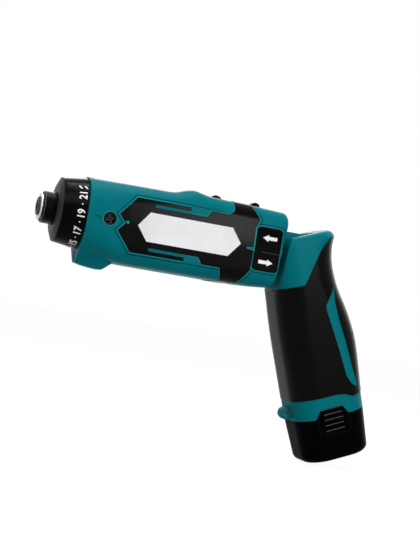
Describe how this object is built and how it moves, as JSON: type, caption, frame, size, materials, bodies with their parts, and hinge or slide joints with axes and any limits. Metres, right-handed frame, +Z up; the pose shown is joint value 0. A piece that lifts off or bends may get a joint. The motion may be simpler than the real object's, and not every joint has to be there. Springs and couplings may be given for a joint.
{
  "type": "electric screwdriver",
  "caption": "Cordless folding screwdriver: geared motor head with torque ring and hex bit socket, hinged on a rubber-clad grip with a slide-out battery.",
  "frame": {"origin": "centre of the bit socket's mouth, on the spindle's axis", "axes": "+X back along the spindle from the socket's mouth, +Y to the user's right, +Z up"},
  "size_m": [0.2184, 0.0474, 0.1471],
  "materials": {
    "teal_plastic": "fine moulded grain, teal",
    "black_rubber": "moulded overgrip, matt black",
    "black_plastic": "black, half matt",
    "gloss_black": "black, polished",
    "label_film": "bare pale film in a black rim",
    "clear_lens": "clear lamp window",
    "dark_steel": "blackened steel",
    "steel": "bright steel",
    "bronze": "sintered bronze",
    "case_alloy": "die cast, grey",
    "gear_nylon": "moulded nylon",
    "magnet": "sintered ferrite",
    "winding": "lacquered copper on steel sheets",
    "circuit": "lacquered circuit board",
    "copper": "plated copper",
    "cell_wrap": "shrunk film over a steel can"
  },
  "bodies": {
    "head": {"head_shell_left": "teal_plastic", "head_shell_right": "teal_plastic", "head_grip_left": "black_rubber", "head_grip_right": "black_rubber", "label_plate": "label_film", "nose_screw": "dark_steel", "housing_screws": "dark_steel", "lamp_lens": "clear_lens", "lamp_board": "circuit", "switch_unit": "black_plastic", "control_board": "circuit", "gear_case": "case_alloy", "spindle_bush": "bronze", "ring_gear": "steel", "clutch_plate": "steel", "clutch_balls": "steel", "motor_plate": "steel", "motor_can": "steel", "motor_magnets": "magnet", "motor_end_cap": "black_plastic"},
    "torque_ring": {"torque_ring": "gloss_black"},
    "clutch_seat": {"clutch_seat": "black_plastic", "clutch_spring": "steel"},
    "spindle": {"spindle": "dark_steel", "sleeve_clip": "steel", "bit_lock_ball": "steel", "sleeve_spring": "steel"},
    "bit_sleeve": {"bit_sleeve": "dark_steel"},
    "carrier_rear": {"carrier_rear": "steel"},
    "rotor": {"motor_rotor": "winding"},
    "rocker": {"switch_rocker": "black_plastic"},
    "speed_lever": {"speed_lever": "black_plastic"},
    "lock_button": {"lock_button": "black_plastic"},
    "handle": {"handle_shell_left": "teal_plastic", "handle_shell_right": "teal_plastic", "handle_grip_left": "black_rubber", "handle_grip_right": "black_rubber", "handle_screws": "dark_steel", "hinge_pin": "steel", "terminal_block": "black_plastic"},
    "battery": {"battery_case": "gloss_black", "battery_stem": "gloss_black", "battery_cells": "cell_wrap", "battery_terminals": "copper"},
    "battery_button_left": {"battery_button_left": "gloss_black"},
    "battery_button_right": {"battery_button_right": "gloss_black"},
    "planet_front_a": {"planet_front_a": "steel"},
    "planet_front_b": {"planet_front_b": "steel"},
    "planet_front_c": {"planet_front_c": "steel"},
    "planet_rear_a": {"planet_rear_a": "gear_nylon"},
    "planet_rear_b": {"planet_rear_b": "gear_nylon"},
    "planet_rear_c": {"planet_rear_c": "gear_nylon"}
  },
  "joints": [
    {"name": "torque_ring_turn", "type": "hinge", "parent": "head", "child": "torque_ring", "pos_m": [0.0097, 0, 0], "axis": [1, 0, 0], "range_deg": [-263, 44]},
    {"name": "clutch_seat_slide", "type": "slide", "parent": "head", "child": "clutch_seat", "axis": [1, 0, 0], "range_m": [-0.00305, 0.00055], "deforming": ["clutch_spring"]},
    {"name": "spindle_spin", "type": "hinge", "parent": "head", "child": "spindle", "pos_m": [0, 0, 0], "axis": [1, 0, 0], "continuous": true},
    {"name": "bit_sleeve_pull", "type": "slide", "parent": "spindle", "child": "bit_sleeve", "axis": [-1, 0, 0], "range_m": [0, 0.0025], "stiffness_N_per_m": 600, "springref_m": -0.004, "deforming": ["sleeve_spring"]},
    {"name": "carrier_rear_spin", "type": "hinge", "parent": "head", "child": "carrier_rear", "pos_m": [0, 0, 0], "axis": [1, 0, 0], "continuous": true},
    {"name": "rotor_spin", "type": "hinge", "parent": "head", "child": "rotor", "pos_m": [0, 0, 0], "axis": [1, 0, 0], "continuous": true},
    {"name": "rocker_tilt", "type": "hinge", "parent": "head", "child": "rocker", "pos_m": [0.1312, -0.0202, -0.003], "axis": [1, 0, 0], "range_deg": [-3, 3], "stiffness_Nm_per_rad": 1.5},
    {"name": "speed_lever_turn", "type": "hinge", "parent": "head", "child": "speed_lever", "pos_m": [0.1027, 0, 0.0202], "axis": [0, 0, 1], "range_deg": [0, 180]},
    {"name": "lock_button_press", "type": "slide", "parent": "head", "child": "lock_button", "axis": [0, 0, -1], "range_m": [0, 0.0015], "stiffness_N_per_m": 800, "springref_m": -0.001},
    {"name": "handle_fold", "type": "hinge", "parent": "head", "child": "handle", "pos_m": [0.1565, 0, 0], "axis": [0, -1, 0], "range_deg": [0, 69]},
    {"name": "battery_slide", "type": "slide", "parent": "handle", "child": "battery", "axis": [0.3584, 0, -0.9336], "range_m": [0, 0.06]},
    {"name": "battery_button_left_press", "type": "slide", "parent": "battery", "child": "battery_button_left", "axis": [0, 1, 0], "range_m": [0, 0.002], "stiffness_N_per_m": 1500, "springref_m": -0.001},
    {"name": "battery_button_right_press", "type": "slide", "parent": "battery", "child": "battery_button_right", "axis": [0, -1, 0], "range_m": [0, 0.002], "stiffness_N_per_m": 1500, "springref_m": -0.001},
    {"name": "planet_front_a_spin", "type": "hinge", "parent": "spindle", "child": "planet_front_a", "pos_m": [0, 0, 0.0081], "axis": [1, 0, 0], "continuous": true},
    {"name": "planet_front_b_spin", "type": "hinge", "parent": "spindle", "child": "planet_front_b", "pos_m": [0, -0.00702, -0.00405], "axis": [1, 0, 0], "continuous": true},
    {"name": "planet_front_c_spin", "type": "hinge", "parent": "spindle", "child": "planet_front_c", "pos_m": [0, 0.00702, -0.00405], "axis": [1, 0, 0], "continuous": true},
    {"name": "planet_rear_a_spin", "type": "hinge", "parent": "carrier_rear", "child": "planet_rear_a", "pos_m": [0, 0, 0.0081], "axis": [1, 0, 0], "continuous": true},
    {"name": "planet_rear_b_spin", "type": "hinge", "parent": "carrier_rear", "child": "planet_rear_b", "pos_m": [0, -0.00702, -0.00405], "axis": [1, 0, 0], "continuous": true},
    {"name": "planet_rear_c_spin", "type": "hinge", "parent": "carrier_rear", "child": "planet_rear_c", "pos_m": [0, 0.00702, -0.00405], "axis": [1, 0, 0], "continuous": true}
  ],
  "couplings": [
    {"joint": "clutch_seat_slide", "follows": "torque_ring_turn", "m_per_rad": 0.00065},
    {"joint": "spindle_spin", "follows": "rotor_spin", "ratio": 0.049383},
    {"joint": "carrier_rear_spin", "follows": "rotor_spin", "ratio": 0.22222},
    {"joint": "planet_front_a_spin", "follows": "rotor_spin", "ratio": -0.13827},
    {"joint": "planet_front_b_spin", "follows": "rotor_spin", "ratio": -0.13827},
    {"joint": "planet_front_c_spin", "follows": "rotor_spin", "ratio": -0.13827},
    {"joint": "planet_rear_a_spin", "follows": "rotor_spin", "ratio": -0.62222},
    {"joint": "planet_rear_b_spin", "follows": "rotor_spin", "ratio": -0.62222},
    {"joint": "planet_rear_c_spin", "follows": "rotor_spin", "ratio": -0.62222}
  ]
}
